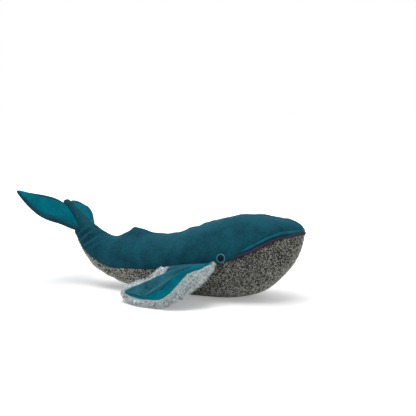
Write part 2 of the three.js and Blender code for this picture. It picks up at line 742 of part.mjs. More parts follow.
// A fluke's frame lies along its root on the tail end's side, in the tail end's frame.
function fluke(side) {
  const sign = sideSigns[side];
  const sidePoint = (along) => new THREE.Vector3(-along, sign * tailHalfWidth(along), 0);
  const [low, high] = [sidePoint(flukeRootLow), sidePoint(flukeRootHigh)];
  const back = new THREE.Vector3(0, 0, 1);
  const forwards = low.clone().sub(high).normalize();
  const out = new THREE.Vector3().crossVectors(back, forwards).multiplyScalar(sign);
  const origin = low.clone().add(high).divideScalar(2);
  const alongs = steps(flukeRootLow, flukeRootHigh, tailTipRings);
  const bulges = alongs.map((along) => sidePoint(along).sub(origin).dot(out));
  origin.addScaledVector(out, Math.max(...bulges) + gap + flukeHem / 2);
  const toLocal = (sideways, along) => {
    const point = new THREE.Vector3(-along, sign * sideways, 0).sub(origin);
    return [point.dot(forwards), point.dot(out)];
  };
  const leaf = flukeLeaf(side, toLocal);
  const group = frame(origin, forwards, back);
  group.rotateX(-sign * degToRad(flukeFold[side]));
  group.name = `fluke_${side}`;
  group.add(
    leafPanel(leaf, 0, suedeMaterial, `fluke_face_${side}`),
    leafWrap(leaf, velvetMaterial, `fluke_back_${side}`),
    leafStuffing(leaf, `fluke_stuffing_${side}`),
  );
  return group;
}

// Tail end

function tailTaper(along) {
  return clamp(along / tailEndLength, 0, 1) ** tailTaperPower;
}

function tailHalfWidth(along) {
  return lerp(tailSeam.half, tailEndTipHalfWidth, tailTaper(along));
}

function tailHalfHeight(along) {
  return lerp(tailBaseRadius, tailEndTipHalfHeight, tailTaper(along));
}

// Rings round the base and then along the wedge, all at a depth under the surface.
function tailEndRings(depth) {
  const ring = (x, halfWidth, halfHeight) => Array.from({ length: tailEndSides }, (_, j) => {
    const turn = (2 * Math.PI * j) / tailEndSides;
    return new THREE.Vector3(x, halfWidth * Math.sin(turn), halfHeight * Math.cos(turn));
  });
  const [halfWidth, radius] = [tailSeam.half - depth, tailBaseRadius - depth];
  const base = tailBaseTurns.map((turn) => {
    const [sin, cos] = [Math.sin(degToRad(turn)), Math.cos(degToRad(turn))];
    return ring(radius * sin, halfWidth * cos, radius * cos);
  });
  const wedge = steps(0, tailEndLength - tailTipRounding, tailTipRings).map((along) => (
    ring(-along, tailHalfWidth(along) - depth, tailHalfHeight(along) - depth)));
  const [tipWidth, tipHeight] = [tailEndTipHalfWidth, tailEndTipHalfHeight].map((half) => half - depth);
  const tip = ring(depth - tailEndLength, tailTipEndShare * tipWidth, tailTipEndShare * tipHeight);
  return [...base, ...wedge, tip];
}

function tailEnd() {
  const group = tailEndFrame();
  group.name = 'tail_end';
  group.add(
    piece('tail_end_cover', sleeve(tailEndRings(0), tailEndRings(skinThickness)), velvetMaterial),
    piece('tail_end_stuffing', loft(tailEndRings(skinThickness + gap)), fillingMaterial),
    ...sideNames.map(fluke),
  );
  return group;
}

// The whole whale stands on the middle of its footprint.
function whale() {
  const socket = tailSocket();
  const bodyWithGap = toManifold(loft(bodyPlaces.map((place) => bodyRing(place, -gap))));
  const group = new THREE.Group();
  group.name = 'plush_whale';
  group.add(
    ...sideNames.map((side) => velvetSide(side, socket)),
    bellyPanel(),
    ...bodyStuffing(socket),
    lipPiping(bodyWithGap),
    lipRoll(bodyWithGap),
    ...sideNames.flatMap((side) => eye(side, bodyWithGap)),
    ...sideNames.map(fin),
    tailEnd(),
  );
  group.updateMatrixWorld(true);
  const box = new THREE.Box3().setFromObject(group, true);
  const middle = box.getCenter(new THREE.Vector3());
  group.position.set(-middle.x, -middle.y, -box.min.z);
  return group;
}

export default whale();
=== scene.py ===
import json
import math

import bmesh
import bpy
import numpy as np
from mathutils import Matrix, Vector
from mathutils.bvhtree import BVHTree
from mathutils.kdtree import KDTree
from mathutils.noise import noise as waver, noise_vector, seed_set

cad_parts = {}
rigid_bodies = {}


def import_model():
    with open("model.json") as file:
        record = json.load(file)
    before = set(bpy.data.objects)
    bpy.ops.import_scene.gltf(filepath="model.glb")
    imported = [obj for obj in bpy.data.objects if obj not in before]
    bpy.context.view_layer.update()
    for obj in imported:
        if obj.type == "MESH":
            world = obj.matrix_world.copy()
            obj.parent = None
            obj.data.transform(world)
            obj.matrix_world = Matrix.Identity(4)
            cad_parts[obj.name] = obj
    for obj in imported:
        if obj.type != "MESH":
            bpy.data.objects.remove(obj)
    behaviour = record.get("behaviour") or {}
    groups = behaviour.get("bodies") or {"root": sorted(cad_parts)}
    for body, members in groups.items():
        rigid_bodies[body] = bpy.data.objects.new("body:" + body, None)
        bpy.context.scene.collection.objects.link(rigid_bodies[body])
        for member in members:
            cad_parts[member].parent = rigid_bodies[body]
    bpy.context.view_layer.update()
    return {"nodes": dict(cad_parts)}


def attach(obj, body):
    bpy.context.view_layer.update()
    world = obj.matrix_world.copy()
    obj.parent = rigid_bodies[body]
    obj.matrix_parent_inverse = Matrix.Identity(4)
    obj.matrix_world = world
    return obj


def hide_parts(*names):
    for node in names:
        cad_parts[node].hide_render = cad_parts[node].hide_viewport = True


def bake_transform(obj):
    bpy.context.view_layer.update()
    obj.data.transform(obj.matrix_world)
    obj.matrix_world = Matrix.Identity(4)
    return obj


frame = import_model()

# The room: a plain pale paper floor, a soft key light from above, a faint fill from the camera's side and a
# light from behind. The camera stands 26 degrees off the whale's right side and a little above it.
image_pixels = 416
sensor_width = 36.0
camera_distance = 2.2
metres_per_pixel = 0.002035
camera_azimuth, camera_elevation = math.radians(26), math.radians(9)
camera_target = Vector((0.00657, 0, 0.07))
target_pixel = (171.0, 257.0)

camera_data = bpy.data.cameras.new("camera")
camera_data.sensor_width = sensor_width
camera_data.lens = sensor_width * camera_distance / (image_pixels * metres_per_pixel)
camera_data.shift_x = 0.5 - target_pixel[0] / image_pixels
camera_data.shift_y = target_pixel[1] / image_pixels - 0.5
camera_data.clip_start, camera_data.clip_end = 0.05, 40
camera = bpy.data.objects.new("camera", camera_data)
bpy.context.scene.collection.objects.link(camera)
away = Vector((
    math.sin(camera_azimuth) * math.cos(camera_elevation),
    -math.cos(camera_azimuth) * math.cos(camera_elevation),
    math.sin(camera_elevation),
))
camera.location = camera_target + away * camera_distance
camera.rotation_euler = (-away).to_track_quat("-Z", "Y").to_euler()
bpy.context.scene.camera = camera
bpy.context.scene.view_settings.view_transform = "Standard"


def lamp(name, place, size, watts, colour, towards=(0, 0, 0.08)):
    """A round soft light that looks at the whale."""
    data = bpy.data.lights.new(name, "AREA")
    data.shape, data.size, data.energy, data.color = "DISK", size, watts, colour
    light = bpy.data.objects.new(name, data)
    bpy.context.scene.collection.objects.link(light)
    light.location = place
    light.rotation_euler = (Vector(towards) - Vector(place)).to_track_quat("-Z", "Y").to_euler()


lamp("key_light", (0.1, -0.48, 2.05), 1.7, 30, (1, 0.99, 0.97))
lamp("fill_light", (1.3, -1.9, 1.1), 1.8, 4, (0.97, 0.98, 1))
lamp("back_light", (-0.3, 1.2, 2.1), 2.0, 9, (1, 1, 1))


def set_up(tree, node, **settings):
    """Gives a node its settings, and the values or links of its inputs, whose names begin with "in_"."""
    for key, value in settings.items():
        if not key.startswith("in_"):
            setattr(node, key, value)
    for key, value in settings.items():
        if key.startswith("in_"):
            label = key[3:]
            socket = node.inputs[int(label) if label.isdigit() else label.replace("_", " ")]
            if isinstance(value, bpy.types.NodeSocket):
                tree.links.new(value, socket)
            else:
                socket.default_value = value
    return node


def put(tree, kind, **settings):
    """A new node, set up."""
    return set_up(tree, tree.nodes.new(kind), **settings)


def new_material(name, roughness):
    """A material with a Principled shader, and what makes and joins its nodes."""
    material = bpy.data.materials.new(name)
    material.use_nodes = True
    tree = material.node_tree
    shader = set_up(tree, tree.nodes["Principled BSDF"], in_Roughness=roughness)
    return material, tree, shader


world = bpy.data.worlds.new("room")
bpy.context.scene.world = world
world.use_nodes = True
tree = world.node_tree
sky = set_up(tree, tree.nodes["Background"], in_Color=(0.93, 0.94, 0.95, 1), in_Strength=0.48)
seen_sky = put(tree, "ShaderNodeBackground", in_Color=(1, 1, 1, 1))
ray = put(tree, "ShaderNodeLightPath")
camera_or_gloss = put(tree, "ShaderNodeMath", operation="MAXIMUM", in_0=ray.outputs["Is Camera Ray"],
                      in_1=ray.outputs["Is Glossy Ray"])
either_sky = put(tree, "ShaderNodeMixShader", in_0=camera_or_gloss.outputs[0], in_1=sky.outputs[0],
                 in_2=seen_sky.outputs[0])
set_up(tree, tree.nodes["World Output"], in_Surface=either_sky.outputs[0])

floor_size, floor_drop = 24, 0.0004
bpy.ops.object.select_all(action="DESELECT")
bpy.ops.mesh.primitive_plane_add(size=floor_size, location=(0, 0, -floor_drop))
floor = bpy.context.object
floor.name = "floor"

# the paper glows to the camera, more so further out, so that only the whale's shadow shows on it
glow_starts_at, glow_is_full_at, least_glow, full_glow = 0.4, 1.3, 0.3, 1.0
floor_material, tree, shader = new_material("floor_paper", 0.9)
seen = put(tree, "ShaderNodeLightPath")
where = put(tree, "ShaderNodeTexCoord")
from_whale = put(tree, "ShaderNodeVectorMath", operation="LENGTH", in_0=where.outputs["Object"])
paper_glow = put(tree, "ShaderNodeMapRange", in_Value=from_whale.outputs["Value"], in_From_Min=glow_starts_at,
                 in_From_Max=glow_is_full_at, in_To_Min=least_glow, in_To_Max=full_glow)
glow = put(tree, "ShaderNodeMath", operation="MULTIPLY", in_0=seen.outputs["Is Camera Ray"],
           in_1=paper_glow.outputs["Result"])
set_up(tree, shader, in_Base_Color=(0.86, 0.86, 0.87, 1), in_Specular_IOR_Level=0.1,
       in_Emission_Color=(1, 1, 1, 1), in_Emission_Strength=glow.outputs[0])
floor.data.materials.append(floor_material)

# The velvet skin: two dark teal panels that meet along the spine, and the wedge of the tail end that is
# sewn to them. Short cotton pile, so the nap shades in soft patches and shines along the edges. The panels
# are cut, sewn inside out, turned and stuffed, so that each pulls in at its seams.
whole_skin_nodes = ["velvet_side_right", "velvet_side_left", "belly_panel", "tail_end_cover"]
panel_ids = {"right": 0, "left": 1, "belly": 2, "tail": 3}


def start_from(name, nodes):
    """One new object made of copies of CAD nodes. The attribute "panel" numbers them."""
    bpy.ops.object.select_all(action="DESELECT")
    for i, node in enumerate(nodes):
        mesh = frame["nodes"][node].data.copy()
        mesh.materials.clear()
        marks = mesh.attributes.new("panel", "INT", "FACE")
        marks.data.foreach_set("value", [i] * len(mesh.polygons))
        copy = bpy.data.objects.new(f"{name}_{node}", mesh)
        bpy.context.scene.collection.objects.link(copy)
        copy.select_set(True)
        bpy.context.view_layer.objects.active = copy
    bpy.ops.object.join()
    made = bpy.context.object
    made.name = name
    bpy.ops.object.mode_set(mode="EDIT")
    bpy.ops.mesh.select_all(action="SELECT")
    bpy.ops.mesh.remove_doubles(threshold=1e-6)
    bpy.ops.object.mode_set(mode="OBJECT")
    return made


def select_only(thing):
    bpy.ops.object.select_all(action="DESELECT")
    thing.select_set(True)
    bpy.context.view_layer.objects.active = thing


def in_edit(thing, mode="VERT"):
    """Opens a piece in edit mode with nothing selected, and returns its mesh."""
    select_only(thing)
    bpy.ops.object.mode_set(mode="EDIT")
    bpy.ops.mesh.select_mode(type=mode)
    bpy.ops.mesh.select_all(action="DESELECT")
    return bmesh.from_edit_mesh(thing.data)


def out_of_edit(thing):
    bmesh.update_edit_mesh(thing.data)
    bpy.ops.object.mode_set(mode="OBJECT")


def keep_outer_cloth(thing, nodes, clear=0.06):
    """Deletes the faces that look at the filling or at a neighbour across a seam, closer than "clear"."""
    off_the_face = 2e-5
    corners, faces = [], []
    for node in nodes:
        mesh = frame["nodes"][node].data
        start = len(corners)
        corners += [v.co.copy() for v in mesh.vertices]
        faces += [[start + v for v in polygon.vertices] for polygon in mesh.polygons]
    solids = BVHTree.FromPolygons(corners, faces)
    cloth = in_edit(thing, "FACE")
    for face in cloth.faces:
        centre = face.calc_center_median()
        hit = solids.ray_cast(centre + face.normal * off_the_face, face.normal, clear)[0]
        face.select = hit is not None
    bmesh.update_edit_mesh(thing.data)
    bpy.ops.mesh.delete(type="FACE")
    out_of_edit(thing)


def seam_edges(cloth):
    """The edges between two panels."""
    marks = cloth.faces.layers.int["panel"]
    return [
        e for e in cloth.edges
        if len(e.link_faces) == 2 and e.link_faces[0][marks] != e.link_faces[1][marks]
    ]


def finish_with(thing, kind, **settings):
    """Adds one modifier with its settings and applies it."""
    select_only(thing)
    bpy.ops.object.modifier_add(type=kind)
    modifier = thing.modifiers[-1]
    for key, value in settings.items():
        setattr(modifier, key, value)
    bpy.ops.object.modifier_apply(modifier=modifier.name)
    return thing


def subdivide(thing, levels):
    return finish_with(thing, "SUBSURF", levels=levels, render_levels=levels)


def stuff(thing, held, most, pressure, last_frame=20):
    """Blows a closed cloth skin up, as filling does, by "most" at most. The vertices in "held" stay."""
    start = [v.co.copy() for v in thing.data.vertices]
    group = thing.vertex_groups.new(name="held")
    group.add(held, 1.0, "REPLACE")
    select_only(thing)
    bpy.ops.object.modifier_add(type="CLOTH")
    cloth = thing.modifiers[-1]
    cloth.settings.quality = 4
    cloth.settings.mass = 0.25
    cloth.settings.tension_stiffness = 20
    cloth.settings.compression_stiffness = 20
    cloth.settings.bending_stiffness = 0.6
    cloth.settings.use_pressure = True
    cloth.settings.uniform_pressure_force = pressure
    cloth.settings.vertex_group_mass = "held"
    cloth.settings.effector_weights.gravity = 0
    cloth.point_cache.frame_end = last_frame
    for frame_number in range(1, last_frame + 1):
        bpy.context.scene.frame_set(frame_number)
    bpy.ops.object.modifier_apply(modifier=cloth.name)
    for vertex, before in zip(thing.data.vertices, start):
        step = vertex.co - before
        if step.length > most:
            vertex.co = before + step.normalized() * most
        vertex.co.z = max(vertex.co.z, 0.0)
    bpy.context.scene.frame_set(1)
    thing.vertex_groups.clear()


# the plane where the stock's cloth ends, and the seam with the tail end: its middle and its own directions
stock_end, stock_end_normal = Vector((-0.18673, 0, 0.10366)), Vector((-0.6947, 0, 0.7193))
tail_seam, tail_forwards = Vector((-0.20053, 0, 0.12515)), Vector((0.57139, -0.08716, -0.81603))
tail_left = Vector((0.04999, 0.9962, -0.07139))
skin_swell, skin_pressure = 0.004, 4.0
# at the nose a narrow strip of the cap is cut away, and the points in front of it merge into one
nose_cap_x, nose_rim_x, nose_point_x, nose_half_width = 0.29, 0.29138, 0.293, 0.0025
# at the tail seam both rims are cut clean, the corner below merges into one point, and the rims are joined
tail_cut, stock_cut, corner_depth, corner_half_width, rims_back_x = 0.0005, 0.001, 0.002, 0.0027, -0.225
# points this close are one, and the side panels take what is this close to the tail seam
sliver, tail_end_reach = 0.0009, 0.05

skin = start_from("whole_skin", whole_skin_nodes)
keep_outer_cloth(skin, whole_skin_nodes + [
    "head_stuffing", "middle_stuffing", "rear_stuffing", "tail_end_stuffing",
])
cloth = in_edit(skin)
marks = cloth.faces.layers.int["panel"]
for vertex in cloth.verts:
    if not vertex.link_faces:
        vertex.select = True
    elif vertex.co.x > nose_cap_x:
        vertex.select = vertex.co.x < nose_rim_x and abs(vertex.co.y) < nose_half_width
    elif vertex.link_faces[0][marks] == panel_ids["tail"]:
        vertex.select = (vertex.co - tail_seam).dot(tail_forwards) > tail_cut
    else:
        vertex.select = (vertex.co - stock_end).dot(stock_end_normal) > stock_cut
bmesh.update_edit_mesh(skin.data)
bpy.ops.mesh.delete(type="VERT")
cloth = bmesh.from_edit_mesh(skin.data)
for vertex in cloth.verts:
    vertex.select = vertex.co.x > nose_point_x
bmesh.update_edit_mesh(skin.data)
bpy.ops.mesh.merge(type="CENTER")
bpy.ops.mesh.select_all(action="SELECT")
bpy.ops.mesh.remove_doubles(threshold=sliver)
bpy.ops.mesh.select_all(action="DESELECT")
cloth = bmesh.from_edit_mesh(skin.data)
for vertex in cloth.verts:
    behind = (vertex.co - stock_end).dot(stock_end_normal)
    below = vertex.co.z < stock_end.z
    vertex.select = below and behind > -corner_depth and abs(vertex.co.y) < corner_half_width
bmesh.update_edit_mesh(skin.data)
bpy.ops.mesh.merge(type="CENTER")
bpy.ops.mesh.select_mode(type="EDGE")
bpy.ops.mesh.select_all(action="DESELECT")
cloth = bmesh.from_edit_mesh(skin.data)
for edge in cloth.edges:
    edge.select = edge.is_boundary and edge.verts[0].co.x > rims_back_x
bmesh.update_edit_mesh(skin.data)
bpy.ops.mesh.bridge_edge_loops(type="PAIRS")
bpy.ops.mesh.select_all(action="SELECT")
bpy.ops.mesh.fill_holes(sides=0)
cloth = bmesh.from_edit_mesh(skin.data)
marks = cloth.faces.layers.int["panel"]
# the tail end's cover goes to the side panels, half to each
for face in cloth.faces:
    middle = face.calc_center_median() - tail_seam
    near_seam = middle.length < tail_end_reach and face[marks] != panel_ids["belly"]
    if near_seam or face[marks] == panel_ids["tail"]:
        face[marks] = panel_ids["right"] if middle.dot(tail_left) < 0 else panel_ids["left"]
for edge in seam_edges(cloth):
    edge.seam = True
bmesh.update_edit_mesh(skin.data)
bpy.ops.mesh.tris_convert_to_quads(face_threshold=math.pi, shape_threshold=math.pi, seam=True)
bpy.ops.mesh.normals_make_consistent(inside=False)
out_of_edit(skin)

subdivide(skin, 2)
held = {v for e in skin.data.edges if e.use_seam for v in e.vertices}
stuff(skin, sorted(held), skin_swell, skin_pressure)
subdivide(skin, 1)


def bell(distance, width):
    """1 at no distance, dying away over a width."""
    return math.exp(-(distance / width) ** 2)


def ease(value, start, end):
    """0 up to the start and 1 from the end on, with a soft slope between them."""
    share = min(1, max(0, (value - start) / (end - start)))
    return share * share * (3 - 2 * share)


stock_towards_tail = Vector((-0.583, 0, 0.812))
tail_lean, tail_lean_width = 0.010, 0.045
root_low, root_reach, root_shift = Vector((-0.205, 0.0196, 0.129)), 0.026, (0.0085, 0.003, -0.0125)
far_root_share, root_inset = 0.3, 0.003
near_tip, near_tip_lift, near_tip_reach = Vector((-0.282, -0.122, 0.201)), 0.003, 0.020


def settle_fluke(place, mirrored):
    """One point of a fluke, moved as its soft cloth lies. The far fluke hangs forwards and a little lower."""
    far = place.y > 0
    low = bell((mirrored - root_low).length, root_reach) * (far_root_share if far else 1)
    forwards, outwards, down = root_shift
    place += Vector((forwards, math.copysign(outwards, place.y), down)) * low
    place.y -= math.copysign(root_inset * (1 - ease(abs(place.y), 0.022, 0.055)), place.y)
    place.z += near_tip_lift * bell((place - near_tip).length, near_tip_reach)
    if far:
        high = ease(place.z, 0.118, 0.150)
        place.z -= 0.005 * ease(place.z, 0.155, 0.170) * ease(place.y, 0.02, 0.05)
        hang = Vector((0.0025 + 0.0105 * high, 0, -0.0045 - 0.0010 * high))
        place += hang * ease(place.y, 0.045, 0.1)


def settle_tail(thing):
    """The soft tail end leans back, and the flukes' roots reach down along the stock."""
    for vertex in thing.data.vertices:
        place = vertex.co.copy()
        along = (place - tail_seam).dot(stock_towards_tail)
        if along < -0.03:
            continue
        mirrored = Vector((place.x, abs(place.y), place.z))
        place.x -= tail_lean * ease(along, 0.008, 0.06) * bell(place.y, tail_lean_width)
        if thing.name.startswith("fluke"):
            settle_fluke(place, mirrored)
        vertex.co = place


nose_give = 0.0048


def settle_nose(thing):
    """The soft nose and chin give way a little."""
    for vertex in thing.data.vertices:
        vertex.co.x -= nose_give * ease(vertex.co.x, 0.20, 0.28)


# the belly cloth's point reaches up under the stock, and the belly is full in front of it
belly_centres = [
    face.center.copy() for face in skin.data.polygons
    if skin.data.attributes["panel"].data[face.index].value == panel_ids["belly"]
]
belly_tip, up_the_stock = min(belly_centres, key=lambda centre: centre.x), Vector((-0.434, 0, 0.90)) * 0.026
rear_fullness, swell_out = Vector((-0.15, 0, 0.043)), Vector((-0.55, 0, -0.83)) * 0.005
for vertex in skin.data.vertices:
    vertex.co += up_the_stock * bell((vertex.co - belly_tip).length, 0.036)
    vertex.co += swell_out * bell((vertex.co - rear_fullness).length, 0.035)

# the stock's cloth is stretched smooth
stretched_reach, least_weight = 0.045, 0.02
stock = skin.vertex_groups.new(name="stock")
for vertex in skin.data.vertices:
    weight = bell((vertex.co - stock_end).length, stretched_reach)
    if weight > least_weight:
        stock.add([vertex.index], weight, "REPLACE")
finish_with(skin, "SMOOTH", factor=0.8, iterations=40, vertex_group="stock")

dorsal_peak_x, crest_height = -0.0785, 0.0050
fold_depth, fold_pitch, fold_wander = 0.0030, 0.0145, 0.007
pucker, pucker_half_width, spine_end_x = 0.0032, 0.012, -0.17
rear_border, border_climb = Vector((-0.160, -0.035, 0.060)), 0.006
unevenness, belly_bumps = 0.0011, 0.0018
soft_lumps, small_lumps, lump_shift = 19, 48, Vector((3, 1, 7))
towards_outside = [vertex.normal.copy() for vertex in skin.data.vertices]
for vertex, out in zip(skin.data.vertices, towards_outside):
    place = vertex.co.copy()
    # the dorsal fin's crest is steeper behind
    behind = place.x - dorsal_peak_x
    crest = bell(behind, 0.018 if behind > 0 else 0.008) * bell(place.y, 0.009)
    if place.z > 0.07:
        place.z += crest_height * crest
    # folds cross the stock, where the tail curls up
    along = (place - tail_seam).dot(stock_towards_tail)
    wander = fold_wander * waver(place * 26)
    folds = math.cos(math.tau * (along + wander + 0.12 * abs(place.y)) / fold_pitch)
    place += out * (fold_depth * bell(along + 0.034, 0.026) * ease(abs(out.y), 0.45, 0.9)) * folds
    # the spine's seam puckers
    on_spine = (out.z > 0.3) * (place.x > spine_end_x)
    place += out * pucker * bell(place.y, pucker_half_width) * waver(place * small_lumps) * on_spine
    # the belly cloth climbs further up the sides in front of the stock
    mirrored = Vector((place.x, -abs(place.y), place.z))
    climb = border_climb * bell((mirrored - rear_border).length, 0.028)
    place += (Vector((0, 0, 1)) - out * out.z) * climb
    # the filling is a little uneven
    place += out * unevenness * waver(place * soft_lumps + lump_shift)
    if out.z < -0.2 and place.x < -0.05:
        place += out * belly_bumps * waver(place * small_lumps)
    vertex.co = place
    vertex.co.z = max(vertex.co.z, 0.0)
settle_tail(skin)
settle_nose(skin)


def srgb(red, green, blue):
    """A colour as it looks, from 0 to 255, made the linear one that a shader takes."""
    return tuple(
        c / 255 / 12.92 if c / 255 <= 0.04045 else ((c / 255 + 0.055) / 1.055) ** 2.4
        for c in (red, green, blue)
    ) + (1,)


def new_effect(name, inputs, outputs):
    """A node group with named inputs and outputs, for an effect that several cloths share."""
    group = bpy.data.node_groups.new(name, "ShaderNodeTree")
    for label, value in inputs.items():
        socket = group.interface.new_socket(label, in_out="INPUT", socket_type="NodeSocketFloat")
        socket.default_value = value
    for label, kind in outputs.items():
        group.interface.new_socket(label, in_out="OUTPUT", socket_type=kind)
    return group, group.nodes.new("NodeGroupInput"), group.nodes.new("NodeGroupOutput")


# how cloth shades unevenly: soft patches, streaks and single tufts or threads
uneven, given, gives = new_effect(
    "uneven_cloth",
    {"Patches": 22.0, "Streaks": 90.0, "Grain": 900.0},
    {"Patch": "NodeSocketFloat", "Streak": "NodeSocketFloat", "Grain": "NodeSocketFloat"},
)
where = put(uneven, "ShaderNodeTexCoord")
for label, number, detail in (("Patches", 0, 3.0), ("Streaks", 1, 4.0), ("Grain", 2, 2.0)):
    noise = put(uneven, "ShaderNodeTexNoise", in_Vector=where.outputs["Object"],
                in_Scale=given.outputs[label], in_Detail=detail, in_Roughness=0.55)
    spread = put(uneven, "ShaderNodeMapRange", in_Value=noise.outputs["Fac"], in_From_Min=0.3,
                 in_From_Max=0.7)
    uneven.links.new(spread.outputs["Result"], gives.inputs[number])


def cloth_material(name, dark, light, pale, roughness, sheen, sheen_colour, scales, bump, grain_share=0.25,
                   nap_scale=None, shine=0.09):
    """Cloth whose colour runs from dark to light in patches, with paler single tufts or threads."""
    material, tree, shader = new_material(name, roughness)
    patches, streaks, threads = scales
    shade = put(tree, "ShaderNodeGroup", node_tree=uneven, in_Patches=patches, in_Streaks=streaks,
                in_Grain=threads)
    both = put(tree, "ShaderNodeMath", operation="MULTIPLY_ADD", in_0=shade.outputs["Streak"], in_1=0.6,
               in_2=shade.outputs["Patch"])
    body = put(tree, "ShaderNodeMapRange", in_Value=both.outputs[0], in_From_Min=0.15, in_From_Max=1.45)
    base = put(tree, "ShaderNodeMix", data_type="RGBA", in_0=body.outputs["Result"], in_6=dark, in_7=light)
    grain = put(tree, "ShaderNodeMath", operation="MULTIPLY", in_0=shade.outputs["Grain"], in_1=grain_share)
    tufts = put(tree, "ShaderNodeMix", data_type="RGBA", in_0=grain.outputs[0], in_6=base.outputs[2],
                in_7=pale)
    nap = put(tree, "ShaderNodeGroup", node_tree=uneven, in_Grain=nap_scale or threads)
    lift = put(tree, "ShaderNodeBump", in_Strength=0.6, in_Distance=bump, in_Height=nap.outputs["Grain"])
    set_up(tree, shader, in_Base_Color=tufts.outputs[2], in_Normal=lift.outputs["Normal"],
           in_Sheen_Weight=sheen, in_Sheen_Roughness=0.4, in_Sheen_Tint=sheen_colour,
           in_Specular_IOR_Level=shine)
    return material


velvet = cloth_material(
    "teal_velvet", srgb(0, 34, 46), srgb(13, 71, 86), srgb(30, 102, 118), 0.85, 0.4, srgb(80, 185, 210),
    (38, 190, 520), 0.00025, grain_share=0.4, nap_scale=1600,
)
belly_cloth = cloth_material(
    "belly_ground", srgb(28, 30, 30), srgb(44, 46, 45), srgb(84, 84, 78), 0.95, 0.1, srgb(220, 220, 215),
    (40, 160, 420), 0.0012, grain_share=0.7,
)


def smooth_shaded(thing):
    for polygon in thing.data.polygons:
        polygon.use_smooth = True


cloth_thickness, skin_seam_depth, beside_seam_share = 0.0018, 0.0014, 0.3
# the panels' outer sides, as arrays of points, normals and triangles, for the pile that grows on them
outer_sheets = {}


def take_panel(whole, number, name, seam_depth):
    """Splits one panel off a skin as a piece of its own. Its edges pull in at the seams, and it gets its
    thickness."""
    cloth = in_edit(whole, "FACE")
    marks = cloth.faces.layers.int["panel"]
    for face in cloth.faces:
        face.select = face[marks] == number
    bmesh.update_edit_mesh(whole.data)
    before = set(bpy.data.objects)
    bpy.ops.mesh.duplicate()
    bpy.ops.mesh.separate(type="SELECTED")
    out_of_edit(whole)
    panel = (set(bpy.data.objects) - before).pop()
    panel.name = name
    cloth = in_edit(panel, "FACE")
    rim = {v for v in cloth.verts if v.is_boundary}
    beside_rim = {e.other_vert(v) for v in rim for e in v.link_edges} - rim
    rings = ((rim, 1.0), (beside_rim, beside_seam_share))
    pulls = [(v, v.normal.copy(), share) for ring, share in rings for v in ring]
    for vertex, outwards, share in pulls:
        vertex.co -= outwards * seam_depth * share
    out_of_edit(panel)
    panel.data.calc_loop_triangles()
    outer_sheets[name] = (
        np.array([v.co for v in panel.data.vertices]), np.array([v.normal for v in panel.data.vertices]),
        np.array([t.vertices for t in panel.data.loop_triangles]),
    )
    finish_with(panel, "SOLIDIFY", thickness=cloth_thickness, offset=-1.0)
    smooth_shaded(panel)
    return panel


def dress(piece, material):
    """Gives a piece its material."""
    piece.data.materials.clear()
    piece.data.materials.append(material)


velvet_right = take_panel(skin, panel_ids["right"], "velvet_right", skin_seam_depth)
velvet_left = take_panel(skin, panel_ids["left"], "velvet_left", skin_seam_depth)
belly = take_panel(skin, panel_ids["belly"], "belly_wool", skin_seam_depth)
bpy.data.objects.remove(skin)
for panel, material, slot_name in (
    (velvet_right, velvet, "velvet"), (velvet_left, velvet, "velvet"), (belly, belly_cloth, "boucle"),
):
    dress(panel, material)
for panel in (velvet_right, velvet_left):
    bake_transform(panel)
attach(belly, "body")
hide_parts("velvet_side_right", "tail_end_cover")
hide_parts("velvet_side_left")
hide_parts("belly_panel")

# The belly's looped pile: short curly loops of dark grey and light beige yarn, woven into the ground cloth.
# Each loop is a bent tube of three rings. None stands in the way of the velvet's edge.


def tree_of(*names):
    """What finds the nearest point of some of the cloth sheets."""
    sheets = [outer_sheets[name] for name in names]
    starts = np.cumsum([0] + [len(points) for points, _, _ in sheets])
    return BVHTree.FromPolygons(
        np.concatenate([points for points, _, _ in sheets]).tolist(),
        np.concatenate([triangles + start for (_, _, triangles), start in zip(sheets, starts)]).tolist(),
    )


def clearance(tree, places):
    """How far each place is from a sheet."""
    return np.array([tree.find_nearest(Vector(p))[3] for p in places])


def unit(rows):
    """Each row, as a vector, made one long."""
    return rows / np.linalg.norm(rows, axis=1)[:, None]


def sow(sheet, count, seed):
    """Evenly random places on a sheet: points, outward normals, and what draws the next random numbers."""
    points, normals, triangles = outer_sheets[sheet]
    draw = np.random.default_rng(seed)
    a, b, c = (points[triangles[:, k]] for k in range(3))
    areas = np.linalg.norm(np.cross(b - a, c - a), axis=1)
    chosen = draw.choice(len(triangles), count, p=areas / areas.sum())
    u, v = draw.random(count), draw.random(count)
    over = u + v > 1
    u[over], v[over] = 1 - u[over], 1 - v[over]
    shares = np.stack([1 - u - v, u, v], 1)[:, :, None]
    corners = triangles[chosen]
    return (points[corners] * shares).sum(1), unit((normals[corners] * shares).sum(1)), draw


def pile_from(name, pattern, faces, places, x_axes, y_axes, z_axes, shade):
    """One piece made of many copies of a small shape, whose vertices are pattern[i, k] along three axes of
    each place. "shade" is each copy's share of light yarn or hair, with painted light added on the belly."""
    count, corners = pattern.shape[:2]
    points = places[:, None] + sum(
        pattern[:, :, k, None] * axes[:, None] for k, axes in enumerate((x_axes, y_axes, z_axes))
    )
    mesh = bpy.data.meshes.new(name)
    all_faces = (np.array(faces)[None] + corners * np.arange(count)[:, None, None]).reshape(-1, 3)
    mesh.from_pydata(points.reshape(-1, 3).tolist(), [], all_faces.tolist())
    mesh.polygons.foreach_set("use_smooth", [True] * len(mesh.polygons))
    shades = mesh.attributes.new("shade", "FLOAT", "POINT")
    shades.data.foreach_set("value", np.repeat(shade, corners).astype(np.float32))
    made = bpy.data.objects.new(name, mesh)
    bpy.context.scene.collection.objects.link(made)
    return made


